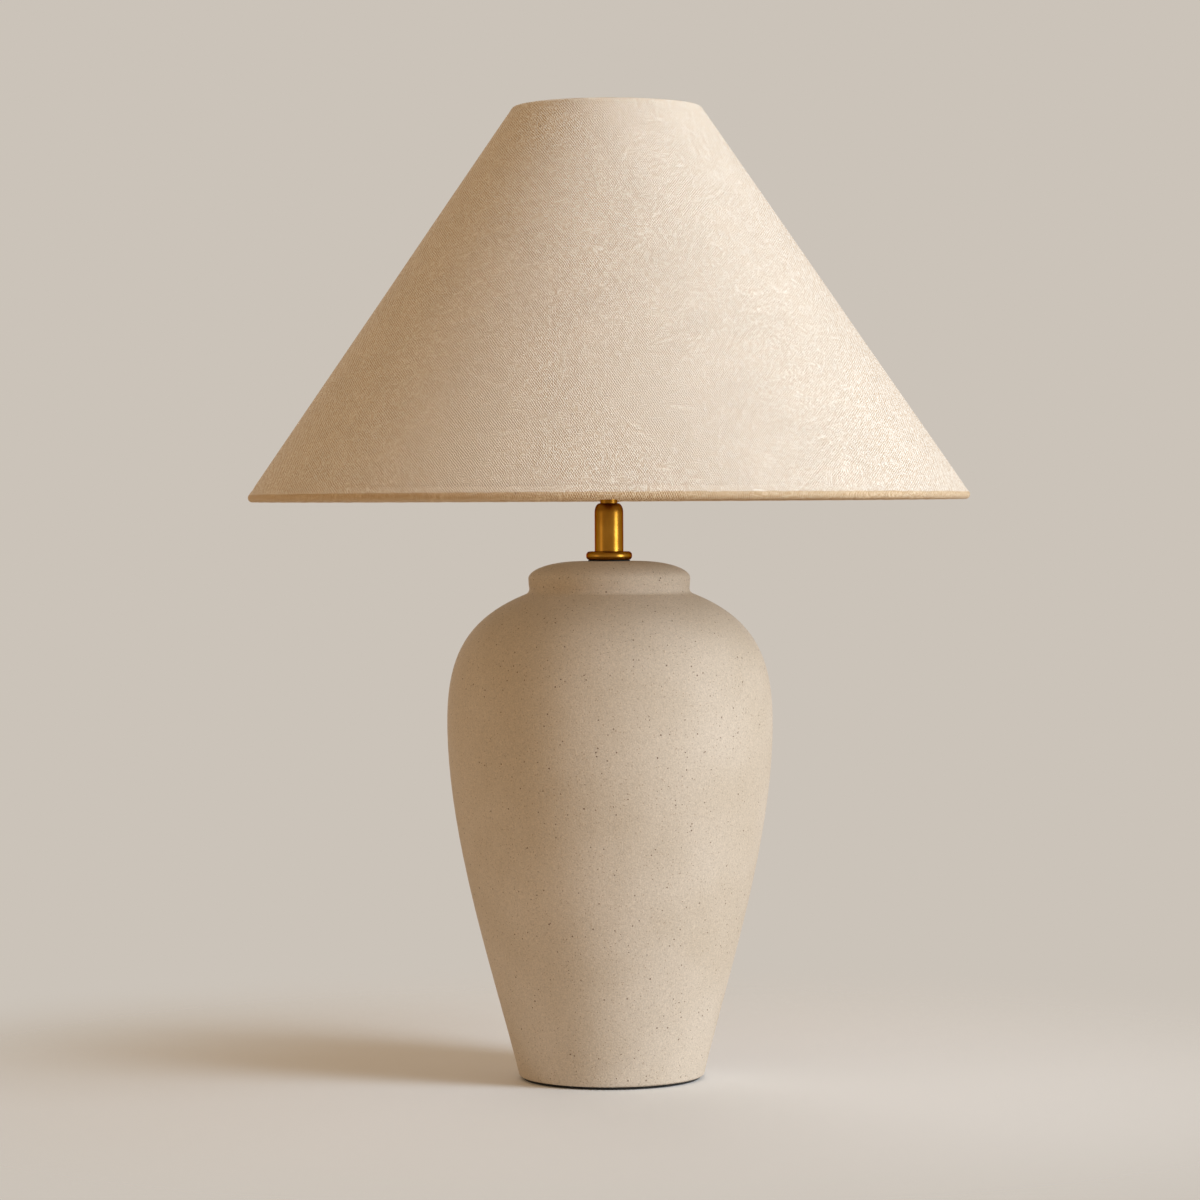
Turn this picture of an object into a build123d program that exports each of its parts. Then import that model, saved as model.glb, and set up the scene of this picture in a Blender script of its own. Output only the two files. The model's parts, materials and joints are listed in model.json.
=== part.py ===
from build123d import *
import math
import os

# Ceramic table lamp, in millimetres. Z points up, the origin is the middle of the underside,
# and the front of the lamp faces -Y.

# Felt pad and foot
pad_thickness = 2.0
pad_inset = 2.5
foot_radius = 64.3
foot_rim = 9.0
foot_edge_round = 1.5
recess_depth = 24.0
floor_thickness = 8.0

# Ceramic body: two smooth curves meet at the belly, and each pull is the length of a curve's handle
body_height = 358.0
wall_thickness = 6.5
wall_lean = 13.5
foot_pull = 68.0
belly_radius = 113.2
belly_pull_down = 83.0
belly_pull_up = 46.0
shoulder_height = 90.5
shoulder_pull = 48.4
shoulder_fall = 20.7
crease_round = 4.0
lip_radius = 56.3
lip_overhang = 1.2
lip_height = 21.5
lip_round_width = 36.0
lip_round_height = 12.0

# Cord inlet low at the back
grommet_radius = 6.0
grommet_flange_radius = 8.5
grommet_stand_out = 2.5
grommet_inner_lip = 2.0
cord_hole_radius = 3.6

# Threaded pipe and the clamp under the floor
pipe_radius = 5.0
pipe_wall = 1.5
pipe_clearance = 0.4
pipe_tail = 3.0
pipe_grip = 6.0
washer_radius = 26.0
washer_thickness = 2.5
lock_washer_radius = 9.0
lock_washer_thickness = 1.5
lock_washer_slit = 1.2
nut_across_flats = 17.0
nut_height = 6.0

# Brass neck
gasket_inset = 1.5
gasket_thickness = 0.8
check_ring_radius = 16.0
check_ring_height = 6.0
check_ring_band = 0.8
neck_radius = 10.0
neck_height = 33.4
neck_wall = 1.4
neck_roof = 5.0
neck_shoulder_land = 0.4
neck_shoulder_height = 6.5
collar_wall = 0.6
collar_height = 3.8

# Harp and its saddle
saddle_half_width = 7.5
saddle_thickness = 1.6
saddle_bend_radius = 3.5
saddle_rise = 14.0
harp_height = 236.0
harp_wire_radius = 2.2
harp_foot_half_span = 31.0
harp_half_width = 60.0
harp_knee_run = 16.0
harp_widening = 50.0
harp_shoulder_height = 64.0
harp_crown_half_width = 21.0
harp_bend_radius = 55.0
harp_crown_bend_radius = 20.0
tongue_height = 12.0
tongue_offset = 0.3
sleeve_height = 16.0
sleeve_wall = 1.3
sleeve_clearance = 0.12
sleeve_spare_lift = 1.5
boss_radius = 7.0
boss_height = 9.0
stud_radius = 3.175
stud_length = 13.0

# Socket with its turn switch
cap_wall = 0.8
cap_hub_wall = 3.0
cap_hub_height = 4.0
cap_flare_height = 9.0
cap_skirt_height = 8.0
set_screw_radius = 1.2
set_screw_stand_out = 0.4
shell_wall = 0.8
shell_rim_round = 0.7
liner_wall = 0.8
socket_fit = 0.05
ledge_grip = 1.2
block_height = 24.0
block_flange_height = 4.0
block_half_depth = 10.0
terminal_screw_radius = 1.6
terminal_screw_length = 6.0
terminal_head_radius = 2.8
terminal_head_height = 1.6
terminal_slot_width = 0.7
contact_radius = 4.0
contact_height = 1.0
thread_radius = 12.7
thread_depth = 0.4
thread_pitch = 3.6
thread_turns = 4
thread_clearance = 0.35
screw_shell_wall = 0.5
screw_shell_margin = 0.25
screw_shell_rim = 1.0
shell_above_screw_shell = 3.0
shaft_radius = 2.0
shaft_clearance = 0.1
shaft_hole_clearance = 0.8
shaft_depth_in_block = 9.0
knob_gap = 9.0
knob_radius = 5.6
knob_length = 15.0
knob_shaft_depth = 10.0
knob_edge_round = 1.2
knob_flutes = 12
knob_flute_radius = 0.7

# Bulb
bulb_gap = 0.3
bulb_length = 108.0
bulb_radius = 30.0
bulb_wall = 0.8
bulb_neck_pull = 22.0
bulb_side_pull = 26.0
bulb_tip_radius = 4.5
bulb_tip_height = 1.2
bulb_insulator_radius = 6.0
bulb_insulator_height = 5.0
bulb_cap_wall = 0.6
bulb_cap_rim = 0.8
bulb_skirt_height = 6.0
bulb_board_thickness = 1.6

# Shade and finial
shade_height = 273.0
shade_bottom_radius = 250.0
shade_top_radius = 66.7
shade_wire_radius = 1.8
hem_clearance = 0.45
fabric_thickness = 0.8
lining_thickness = 0.5
lining_gap = 0.2
lining_end_gap = 0.3
bottom_hem_wrap = 215.0
top_hem_wrap = 165.0
spider_drop = 35.0
spider_arms = 3
spider_wire_radius = 1.7
spider_bend_radius = 14.0
hub_radius = 12.0
hub_thickness = 1.6
hub_clearance = 0.2
finial_height = 23.0
finial_base_radius = 7.0
finial_base_height = 3.5
finial_neck_radius = 4.6
finial_ball_radius = 7.6
finial_clearance = 0.075
finial_bore_spare = 0.6

# Heights that follow from the sizes above
foot_z = pad_thickness
inlet_z = foot_z + recess_depth / 2
floor_z = foot_z + recess_depth
washer_z = floor_z - washer_thickness
lock_washer_z = washer_z - lock_washer_thickness
nut_z = lock_washer_z - nut_height
pipe_z = nut_z - pipe_tail
body_top_z = foot_z + body_height
crease_z = body_top_z - lip_height
belly_z = crease_z - shoulder_height
check_ring_z = body_top_z + gasket_thickness
neck_z = check_ring_z + check_ring_height
collar_z = neck_z + neck_height
saddle_z = collar_z + collar_height
socket_z = saddle_z + saddle_thickness
pipe_top_z = socket_z + pipe_grip
sleeve_z = saddle_z + saddle_rise
sleeve_lift = tongue_height + sleeve_spare_lift
ledge_z = socket_z + cap_hub_height + cap_flare_height
cap_rim_z = ledge_z + cap_skirt_height
block_top_z = ledge_z + block_height
shaft_z = ledge_z + block_height / 2
bulb_z = block_top_z + contact_height + bulb_gap
bulb_insulator_z = bulb_z + bulb_tip_height
bulb_cap_z = bulb_insulator_z + bulb_insulator_height
thread_z = bulb_cap_z + bulb_cap_rim
thread_top_z = thread_z + thread_turns * thread_pitch
screw_shell_top_z = thread_top_z + screw_shell_rim
shell_top_z = screw_shell_top_z + shell_above_screw_shell
bulb_neck_z = thread_top_z + bulb_skirt_height
bulb_top_z = bulb_z + bulb_length
seat_z = saddle_z + harp_height
crown_z = seat_z - boss_height / 2
hub_top_z = seat_z + hub_thickness
shade_top_z = seat_z + spider_drop
shade_bottom_z = shade_top_z - shade_height

# Flat top of the lip, inside its rounding
lip_flat_radius = lip_radius - lip_round_width

# Radii of what goes round the pipe
pipe_hole_radius = pipe_radius + pipe_clearance
collar_radius = pipe_hole_radius + collar_wall
neck_land_radius = collar_radius + neck_shoulder_land
cap_hub_radius = pipe_radius + cap_hub_wall

# Radii of the socket's nested sleeves, from the bulb's thread outwards
screw_shell_radius = thread_radius + thread_clearance
block_radius = screw_shell_radius + screw_shell_wall + thread_depth + screw_shell_margin
ledge_radius = block_radius - ledge_grip
liner_radius = block_radius + socket_fit + liner_wall
shell_radius = liner_radius + socket_fit + shell_wall
cap_radius = shell_radius + socket_fit + cap_wall

# Centres of the two shade wires, as (radius, height), and the shade's slope between them
hem_inner_radius = shade_wire_radius + hem_clearance
hem_radius = hem_inner_radius + fabric_thickness
lining_radius = hem_inner_radius - lining_gap
bottom_wire = Vector(shade_bottom_radius - hem_radius, shade_bottom_z + hem_radius)
top_wire = Vector(shade_top_radius - hem_radius, shade_top_z - hem_radius)
shade_up = (top_wire - bottom_wire).normalized()
shade_out = Vector(shade_up.Y, -shade_up.X)
shade_out_angle = math.degrees(math.atan2(shade_out.Y, shade_out.X))


def disc(radius, bottom, height):
    """An upright cylinder on the lamp's axis."""
    return Pos(0, 0, bottom) * extrude(Circle(radius), height)


def tube(outer_radius, inner_radius, bottom, height):
    """An upright tube on the lamp's axis."""
    return Pos(0, 0, bottom) * extrude(Circle(outer_radius) - Circle(inner_radius), height)


def turned(profile):
    """A solid turned about the lamp's axis from a profile drawn as (radius, height)."""
    return revolve(Plane.XZ * profile, Axis.Z)


def outlined(*points):
    """A flat profile with straight sides through the given (radius, height) points."""
    return make_face(Polyline(*points, close=True))


def rod_along(direction, start, radius, length):
    """A rod that leaves a start point along a direction."""
    return extrude(Plane(start, z_dir=direction) * Circle(radius), length)


def direction_at(degrees):
    """The unit vector at an angle in the profile plane."""
    return Vector(math.cos(math.radians(degrees)), math.sin(math.radians(degrees)))


def wall_curves(inset):
    """Side of the pot from its foot to the crease, moved inwards by an inset."""
    lean = direction_at(90 - wall_lean)
    fall = direction_at(-shoulder_fall)
    up = Vector(0, 1)
    foot = Vector(foot_radius, foot_z) + direction_at(180 - wall_lean) * inset
    belly = Vector(belly_radius - inset, belly_z)
    crease = Vector(lip_radius - lip_overhang, crease_z) - direction_at(90 - shoulder_fall) * inset
    wall = Bezier(foot, foot + lean * foot_pull, belly - up * belly_pull_down, belly)
    shoulder = Bezier(belly, belly + up * belly_pull_up, crease + fall * shoulder_pull, crease)
    return wall, shoulder


def body_profile():
    """Outside of the pot: leaning wall, belly, sloping shoulder, crease and rolled lip."""
    wall, shoulder = wall_curves(0)
    foot = wall @ 0
    crease = shoulder @ 1
    lip_middle_z = body_top_z - lip_round_height
    lip_side = TangentArc((lip_radius, lip_middle_z), crease, tangent=(0, -1))
    lip_top = EllipticalCenterArc(
        (lip_flat_radius, lip_middle_z), lip_round_width, lip_round_height, start_angle=0, arc_size=90
    )
    closing = Polyline((lip_flat_radius, body_top_z), (0, body_top_z), (0, foot_z), foot)
    profile = make_face([wall, shoulder, lip_side, lip_top, closing])
    profile = fillet(profile.vertices().sort_by_distance(crease)[0], crease_round)
    return fillet(profile.vertices().sort_by_distance(foot)[0], foot_edge_round)


def cavity_profile():
    """Hollow of the pot, from its floor to the underside of its lip."""
    wall, shoulder = wall_curves(wall_thickness)
    foot = wall @ 0
    crease = shoulder @ 1
    roof_z = body_top_z - wall_thickness
    floor_top_z = floor_z + floor_thickness
    closing = Polyline(crease, (lip_flat_radius, roof_z), (0, roof_z), (0, foot.Y), foot)
    below_floor = outlined((0, foot_z), (belly_radius, foot_z), (belly_radius, floor_top_z), (0, floor_top_z))
    return make_face([wall, shoulder, closing]) - below_floor


def make_ceramic_body():
    """Hollow pot with a recessed foot, holes for the pipe and a hole for the grommet."""
    pot = turned(body_profile()) - turned(cavity_profile())
    pot -= disc(foot_radius - foot_rim, foot_z, recess_depth)
    pot -= disc(pipe_hole_radius, foot_z, body_height)
    return pot - rod_along((0, 1, 0), (0, 0, inlet_z), grommet_radius, belly_radius)


def make_base_pad():
    """Felt disc glued to the rim of the foot."""
    return disc(foot_radius - pad_inset, 0, pad_thickness)


def make_cord_grommet(pot):
    """Rubber bush in the cord hole, with a flange moulded to the slope of the pot."""
    inner_y = foot_radius - foot_rim - grommet_inner_lip
    wall_y = foot_radius + (inlet_z - foot_z) * math.tan(math.radians(wall_lean))
    outer_y = wall_y + grommet_stand_out
    flange_y = wall_y - foot_rim / 2
    barrel = rod_along((0, 1, 0), (0, inner_y, inlet_z), grommet_radius, outer_y - inner_y)
    flange = rod_along((0, 1, 0), (0, flange_y, inlet_z), grommet_flange_radius, outer_y - flange_y)
    hole = rod_along((0, 1, 0), (0, inner_y, inlet_z), cord_hole_radius, outer_y - inner_y)
    return barrel + (flange - pot) - hole


def make_lamp_pipe():
    """Hollow pipe from under the nut to inside the socket cap."""
    return tube(pipe_radius, pipe_radius - pipe_wall, pipe_z, pipe_top_z - pipe_z)


def make_lock_washer():
    """Spring washer with its slit."""
    ring = tube(lock_washer_radius, pipe_hole_radius, lock_washer_z, lock_washer_thickness)
    slit = Pos(lock_washer_radius, 0, lock_washer_z) * Box(
        2 * lock_washer_radius, lock_washer_slit, 3 * lock_washer_thickness
    )
    return ring - slit


def make_bottom_nut():
    """Hexagon nut on the lower end of the pipe."""
    hexagon = RegularPolygon(nut_across_flats / 2, 6, major_radius=False) - Circle(pipe_radius)
    return Pos(0, 0, nut_z) * extrude(hexagon, nut_height)


def make_neck_gasket():
    """Thin rubber washer, hidden under the check ring."""
    return tube(check_ring_radius - gasket_inset, pipe_hole_radius, body_top_z, gasket_thickness)


def make_check_ring():
    """Brass flange with a rounded edge above and below the narrow band of its side."""
    ring = tube(check_ring_radius, pipe_hole_radius, check_ring_z, check_ring_height)
    edges = ring.edges().filter_by(GeomType.CIRCLE).group_by(SortBy.RADIUS)[-1]
    return fillet(edges, (check_ring_height - check_ring_band) / 2)


def make_neck_tube():
    """Hollow brass stem, closed at the top by a tall rounded shoulder."""
    shoulder_z = collar_z - neck_shoulder_height
    shoulder_width = neck_radius - neck_land_radius
    shoulder = EllipticalCenterArc(
        (neck_land_radius, shoulder_z), shoulder_width, neck_shoulder_height, start_angle=0, arc_size=90
    )
    side = Polyline(shoulder @ 1, (0, collar_z), (0, neck_z), (neck_radius, neck_z), shoulder @ 0)
    stem = turned(make_face([shoulder, side]))
    stem -= disc(neck_radius - neck_wall, neck_z, neck_height - neck_roof)
    return stem - disc(pipe_hole_radius, neck_z, neck_height)


def make_harp_saddle():
    """Bent strip under the socket, with a half-round tongue at each end that takes the harp."""
    flat_y = harp_foot_half_span + tongue_offset + saddle_thickness
    strip_line = FilletPolyline(
        (-flat_y, sleeve_z),
        (-flat_y, saddle_z),
        (flat_y, saddle_z),
        (flat_y, sleeve_z),
        radius=saddle_bend_radius + saddle_thickness,
    )
    inside_line = offset(strip_line, saddle_thickness, side=Side.LEFT, closed=True)
    strip = extrude(Plane.YZ * make_face(inside_line), saddle_half_width, both=True)
    strip -= disc(pipe_hole_radius, saddle_z, saddle_thickness)
    for side in (-1, 1):
        strip += make_tongue(side)
    return strip


def make_tongue(side):
    """Half-round tongue on the outer side of a harp foot."""
    foot_y = side * harp_foot_half_span
    rod = Pos(0, foot_y, sleeve_z) * extrude(Circle(harp_wire_radius), tongue_height)
    return rod & foot_half(side)


def foot_half(side):
    """The space on the outer side of a harp foot that its tongue fills."""
    face_y = side * (harp_foot_half_span + tongue_offset + harp_wire_radius)
    return Pos(0, face_y, sleeve_z) * Box(
        4 * harp_wire_radius,
        2 * harp_wire_radius,
        tongue_height,
        align=(Align.CENTER, Align.CENTER, Align.MIN),
    )


def harp_line():
    """Centre line of the harp: feet that stay upright as far as the sleeves slide, wide sides, flat crown."""
    knee_z = sleeve_z + sleeve_lift + sleeve_height + harp_knee_run
    wide_z = knee_z + harp_widening
    crown_start_z = crown_z - harp_shoulder_height
    right_side = [
        (harp_foot_half_span, sleeve_z),
        (harp_foot_half_span, knee_z),
        (harp_half_width, wide_z),
        (harp_half_width, crown_start_z),
        (harp_crown_half_width, crown_z),
    ]
    left_side = [(-y, z) for y, z in reversed(right_side)]
    bends = [harp_bend_radius] * 3 + [harp_crown_bend_radius] * 2 + [harp_bend_radius] * 3
    return Plane.YZ * FilletPolyline(*right_side, *left_side, radius=bends)


def make_harp_wire():
    """Bent wire loop, halved at its two feet where the tongues lie."""
    line = harp_line()
    wire = sweep(Plane(line @ 0, z_dir=line % 0) * Circle(harp_wire_radius), path=line)
    return wire - foot_half(1) - foot_half(-1)


def make_harp_sleeve(side):
    """Sleeve that drops over a tongue and a harp foot and locks them together."""
    bore = harp_wire_radius + sleeve_clearance
    ring = Circle(bore + sleeve_wall) - Circle(bore)
    return Pos(0, side * harp_foot_half_span, sleeve_z) * extrude(ring, sleeve_height)


def make_harp_stud(harp_wire):
    """Boss on the harp's crown, with the threaded stud that the shade sits on."""
    boss = disc(boss_radius, seat_z - boss_height, boss_height)
    return boss - harp_wire + disc(stud_radius, seat_z, stud_length)


def make_socket_cap():
    """Cap that screws on to the pipe, flares out and holds the shell in its skirt."""
    skirt_radius = cap_radius - cap_wall
    flare_width = cap_radius - cap_hub_radius
    flare = EllipticalCenterArc(
        (cap_hub_radius, ledge_z), flare_width, cap_flare_height, start_angle=-90, arc_size=90
    )
    inside = Polyline(
        (cap_radius, ledge_z),
        (cap_radius, cap_rim_z),
        (skirt_radius, cap_rim_z),
        (skirt_radius, ledge_z),
        (ledge_radius, ledge_z),
        (pipe_hole_radius, pipe_top_z),
        (pipe_radius, pipe_top_z),
        (pipe_radius, socket_z),
        (cap_hub_radius, socket_z),
        (cap_hub_radius, ledge_z - cap_flare_height),
    )
    return turned(make_face([flare, inside])) - make_set_screw_blank(cap_radius)


def make_set_screw_blank(length):
    """The set screw's rod, from the pipe outwards through the cap's hub."""
    start = (-pipe_radius, 0, socket_z + cap_hub_height / 2)
    return rod_along((-1, 0, 0), start, set_screw_radius, length)


def make_cap_set_screw(lamp_pipe):
    """Screw through the hub of the cap that stops it turning on the pipe."""
    return make_set_screw_blank(cap_hub_radius + set_screw_stand_out - pipe_radius) - lamp_pipe


def shaft_hole():
    """The free way for the switch shaft through the side of the socket."""
    radius = shaft_radius + shaft_hole_clearance
    return rod_along((1, 0, 0), (ledge_radius, 0, shaft_z), radius, cap_radius)


def make_socket_shell():
    """Brass shell with a rounded rim."""
    shell = tube(shell_radius, shell_radius - shell_wall, ledge_z, shell_top_z - ledge_z)
    rim = Pos(0, 0, shell_top_z) * Torus(shell_radius, shell_rim_round)
    rim -= disc(shell_radius - shell_wall, shell_top_z - cap_radius, 2 * cap_radius)
    return shell + rim - shaft_hole()


def make_socket_sleeve():
    """Insulating sleeve between the shell and the live parts."""
    height = screw_shell_top_z - ledge_z
    return tube(liner_radius, liner_radius - liner_wall, ledge_z, height) - shaft_hole()


def make_switch_block():
    """Insulating switch body: two round flanges and a core with flat sides."""
    core = disc(block_radius, ledge_z, block_height)
    room = Pos(0, 0, shaft_z) * Box(
        2 * cap_radius, 2 * cap_radius, block_height - 2 * block_flange_height
    )
    slab = Pos(0, 0, shaft_z) * Box(2 * block_radius, 2 * block_half_depth, block_height)
    block = core - (room - slab)
    start = (block_radius - shaft_depth_in_block, 0, shaft_z)
    block -= rod_along((1, 0, 0), start, shaft_radius + shaft_clearance, cap_radius)
    for side in (-1, 1):
        block -= terminal_shank(side)
    return block


def terminal_shank(side):
    """Threaded part of a terminal screw inside the switch body."""
    start = (0, side * block_half_depth, shaft_z)
    return rod_along((0, -side, 0), start, terminal_screw_radius, terminal_screw_length)


def make_terminal_screw(side):
    """Wire screw with a slotted head."""
    start = (0, side * block_half_depth, shaft_z)
    head = rod_along((0, side, 0), start, terminal_head_radius, terminal_head_height)
    slot = Pos(0, side * (block_half_depth + terminal_head_height), shaft_z) * Box(
        2 * terminal_head_radius, terminal_head_height, terminal_slot_width
    )
    return terminal_shank(side) + (head - slot)


def thread_edges(radius):
    """Rolled thread, drawn upwards as rings that swell and sink about a radius."""
    edges = []
    for turn in range(thread_turns):
        start = thread_z + turn * thread_pitch
        middle = start + thread_pitch / 2
        end = start + thread_pitch
        swell = (radius + thread_depth, (start + middle) / 2)
        sink = (radius - thread_depth, (middle + end) / 2)
        edges.append(ThreePointArc((radius, start), swell, (radius, middle)))
        edges.append(ThreePointArc((radius, middle), sink, (radius, end)))
    return edges


def threaded_sleeve(inner_radius, wall, bottom, top):
    """Thin threaded sleeve with plain ends."""
    outer_radius = inner_radius + wall
    outline = thread_edges(inner_radius) + thread_edges(outer_radius)
    for thread_end, plain_end in ((thread_z, bottom), (thread_top_z, top)):
        corners = [(inner_radius, thread_end), (inner_radius, plain_end)]
        corners += [(outer_radius, plain_end), (outer_radius, thread_end)]
        outline.append(Polyline(*corners))
    return turned(make_face(outline))


def make_screw_shell():
    """Threaded contact that the bulb screws into."""
    return threaded_sleeve(screw_shell_radius, screw_shell_wall, block_top_z, screw_shell_top_z)


def make_bulb_cap():
    """Thin threaded cap of the bulb, with a plain skirt under the glass."""
    inner_radius = thread_radius - bulb_cap_wall
    return threaded_sleeve(inner_radius, bulb_cap_wall, bulb_cap_z, bulb_neck_z)


def make_bulb_insulator():
    """Tapered insulator between the bulb's tip and its cap."""
    return turned(
        outlined(
            (0, bulb_insulator_z),
            (bulb_insulator_radius, bulb_insulator_z),
            (thread_radius, bulb_cap_z),
            (0, bulb_cap_z),
        )
    )


def bulb_outline(inset):
    """Half of the bulb's outline: narrow neck, full sides and a round top."""
    neck = Vector(thread_radius - inset, bulb_neck_z)
    widest_z = bulb_top_z - bulb_radius
    widest = Vector(bulb_radius - inset, widest_z)
    up = Vector(0, 1)
    side = Bezier(neck, neck + up * bulb_neck_pull, widest - up * bulb_side_pull, widest)
    dome = CenterArc((0, widest_z), bulb_radius - inset, 0, 90)
    closing = Polyline((0, bulb_top_z - inset), (0, bulb_neck_z), neck)
    return make_face([side, dome, closing])


def make_bulb_glass():
    """Hollow glass globe on the bulb's cap."""
    return turned(bulb_outline(0)) - turned(bulb_outline(bulb_wall))


def make_bulb_board():
    """Round board with the light emitters, on top of the bulb's cap."""
    return disc(thread_radius - bulb_wall, bulb_neck_z, bulb_board_thickness)


def make_switch_shaft():
    """Shaft of the turn switch, from inside the block to inside the knob."""
    start_x = block_radius - shaft_depth_in_block
    end_x = cap_radius + knob_gap + knob_shaft_depth
    return rod_along((1, 0, 0), (start_x, 0, shaft_z), shaft_radius, end_x - start_x)


def make_switch_knob():
    """Fluted knob with rounded ends and a blind hole for the shaft."""
    start_x = cap_radius + knob_gap
    knob = rod_along((1, 0, 0), (start_x, 0, shaft_z), knob_radius, knob_length)
    knob = fillet(knob.edges().filter_by(GeomType.CIRCLE), knob_edge_round)
    for flute in range(knob_flutes):
        turn = math.radians(360 * flute / knob_flutes)
        start = (start_x, knob_radius * math.cos(turn), shaft_z + knob_radius * math.sin(turn))
        knob -= rod_along((1, 0, 0), start, knob_flute_radius, knob_length)
    return knob - rod_along((1, 0, 0), (start_x, 0, shaft_z), shaft_radius, knob_shaft_depth)


def hem_outline(wire, wrap):
    """The three outer sides of a hem that rolls round a wire, from the shade's slope inwards."""
    end = direction_at(shade_out_angle + wrap)
    return [
        CenterArc(wire, hem_radius, shade_out_angle, wrap),
        Line(wire + end * hem_radius, wire + end * hem_inner_radius),
        CenterArc(wire, hem_inner_radius, shade_out_angle, wrap),
    ]


def make_shade_fabric():
    """Cone of fabric whose two ends roll round the shade wires."""
    outside = Line(bottom_wire + shade_out * hem_radius, top_wire + shade_out * hem_radius)
    inside = Line(bottom_wire + shade_out * hem_inner_radius, top_wire + shade_out * hem_inner_radius)
    top_hem = hem_outline(top_wire, top_hem_wrap)
    bottom_hem = hem_outline(bottom_wire, -bottom_hem_wrap)
    return turned(make_face([outside, *top_hem, inside, *bottom_hem]))


def make_shade_liner():
    """Stiff lining pasted to the inside of the fabric, between the two hems."""
    start = bottom_wire + shade_up * (hem_radius + lining_end_gap)
    end = top_wire - shade_up * (hem_radius + lining_end_gap)
    outer_face = shade_out * lining_radius
    inner_face = shade_out * (lining_radius - lining_thickness)
    return turned(outlined(start + inner_face, start + outer_face, end + outer_face, end + inner_face))


def make_shade_ring(wire):
    """Wire ring inside a hem."""
    return Pos(0, 0, wire.Y) * Torus(wire.X, shade_wire_radius)


def make_shade_spider(top_ring):
    """Hub washer with bent wire arms that rise to the top ring."""
    arm_z = seat_z + hub_thickness / 2
    arm_start = (hub_radius - spider_wire_radius, arm_z)
    line = Plane.XZ * FilletPolyline(
        arm_start, (top_wire.X, arm_z), (top_wire.X, top_wire.Y), radius=spider_bend_radius
    )
    arm = sweep(Plane(line @ 0, z_dir=line % 0) * Circle(spider_wire_radius), path=line) - top_ring
    spider = disc(hub_radius, seat_z, hub_thickness)
    for turn in range(spider_arms):
        spider += Rot(0, 0, 90 + 360 * turn / spider_arms) * arm
    return spider - disc(stud_radius + hub_clearance, seat_z, hub_thickness)


def make_finial():
    """Turned nut with a round base, a waist and a ball, on the harp's stud."""
    base_top_z = hub_top_z + finial_base_height
    top_z = hub_top_z + finial_height
    ball_z = top_z - finial_ball_radius
    ball = Pos(0, 0, ball_z) * Sphere(finial_ball_radius)
    base = disc(finial_base_radius, hub_top_z, finial_base_height)
    base = fillet(base.edges().group_by(Axis.Z)[-1], finial_base_height / 3)
    waist = disc(finial_neck_radius, base_top_z, ball_z - base_top_z)
    bore_depth = stud_length - hub_thickness + finial_bore_spare
    return base + waist + ball - disc(stud_radius + finial_clearance, hub_top_z, bore_depth)


ceramic_body = make_ceramic_body()
lamp_pipe = make_lamp_pipe()
harp_wire = make_harp_wire()
shade_top_ring = make_shade_ring(top_wire)

parts = {
    "base_pad": make_base_pad(),
    "ceramic_body": ceramic_body,
    "cord_grommet": make_cord_grommet(ceramic_body),
    "lamp_pipe": lamp_pipe,
    "bottom_washer": tube(washer_radius, pipe_hole_radius, washer_z, washer_thickness),
    "lock_washer": make_lock_washer(),
    "bottom_nut": make_bottom_nut(),
    "neck_gasket": make_neck_gasket(),
    "check_ring": make_check_ring(),
    "neck_tube": make_neck_tube(),
    "neck_collar": tube(collar_radius, pipe_hole_radius, collar_z, collar_height),
    "harp_saddle": make_harp_saddle(),
    "harp_wire": harp_wire,
    "harp_sleeve_front": make_harp_sleeve(-1),
    "harp_sleeve_back": make_harp_sleeve(1),
    "harp_stud": make_harp_stud(harp_wire),
    "socket_cap": make_socket_cap(),
    "cap_set_screw": make_cap_set_screw(lamp_pipe),
    "socket_shell": make_socket_shell(),
    "socket_sleeve": make_socket_sleeve(),
    "switch_block": make_switch_block(),
    "terminal_screws": Compound(children=[make_terminal_screw(-1), make_terminal_screw(1)]),
    "centre_contact": disc(contact_radius, block_top_z, contact_height),
    "screw_shell": make_screw_shell(),
    "switch_shaft": make_switch_shaft(),
    "switch_knob": make_switch_knob(),
    "bulb_tip": disc(bulb_tip_radius, bulb_z, bulb_tip_height),
    "bulb_insulator": make_bulb_insulator(),
    "bulb_cap": make_bulb_cap(),
    "bulb_board": make_bulb_board(),
    "bulb_glass": make_bulb_glass(),
    "shade_bottom_ring": make_shade_ring(bottom_wire),
    "shade_top_ring": shade_top_ring,
    "shade_spider": make_shade_spider(shade_top_ring),
    "shade_liner": make_shade_liner(),
    "shade_fabric": make_shade_fabric(),
    "finial": make_finial(),
}

os.makedirs("parts", exist_ok=True)
for name, solid in parts.items():
    export_step(solid, f"parts/{name}.step")
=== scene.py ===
# %% [markdown]
# # A ceramic table lamp
# The lamp is a speckled stoneware urn with a brass neck, a socket and harp, and a wide linen
# shade. Its rigid pieces are CAD solids that already have their real size and place, so this
# lesson never moves them. It makes what a solid can't show: the finish of every material, the
# cloth of the shade with its hems and seam, and the felt under the foot.

# %% Load the frame
import json
import math

import bpy
import numpy as np
from mathutils import Matrix, Vector


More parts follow.
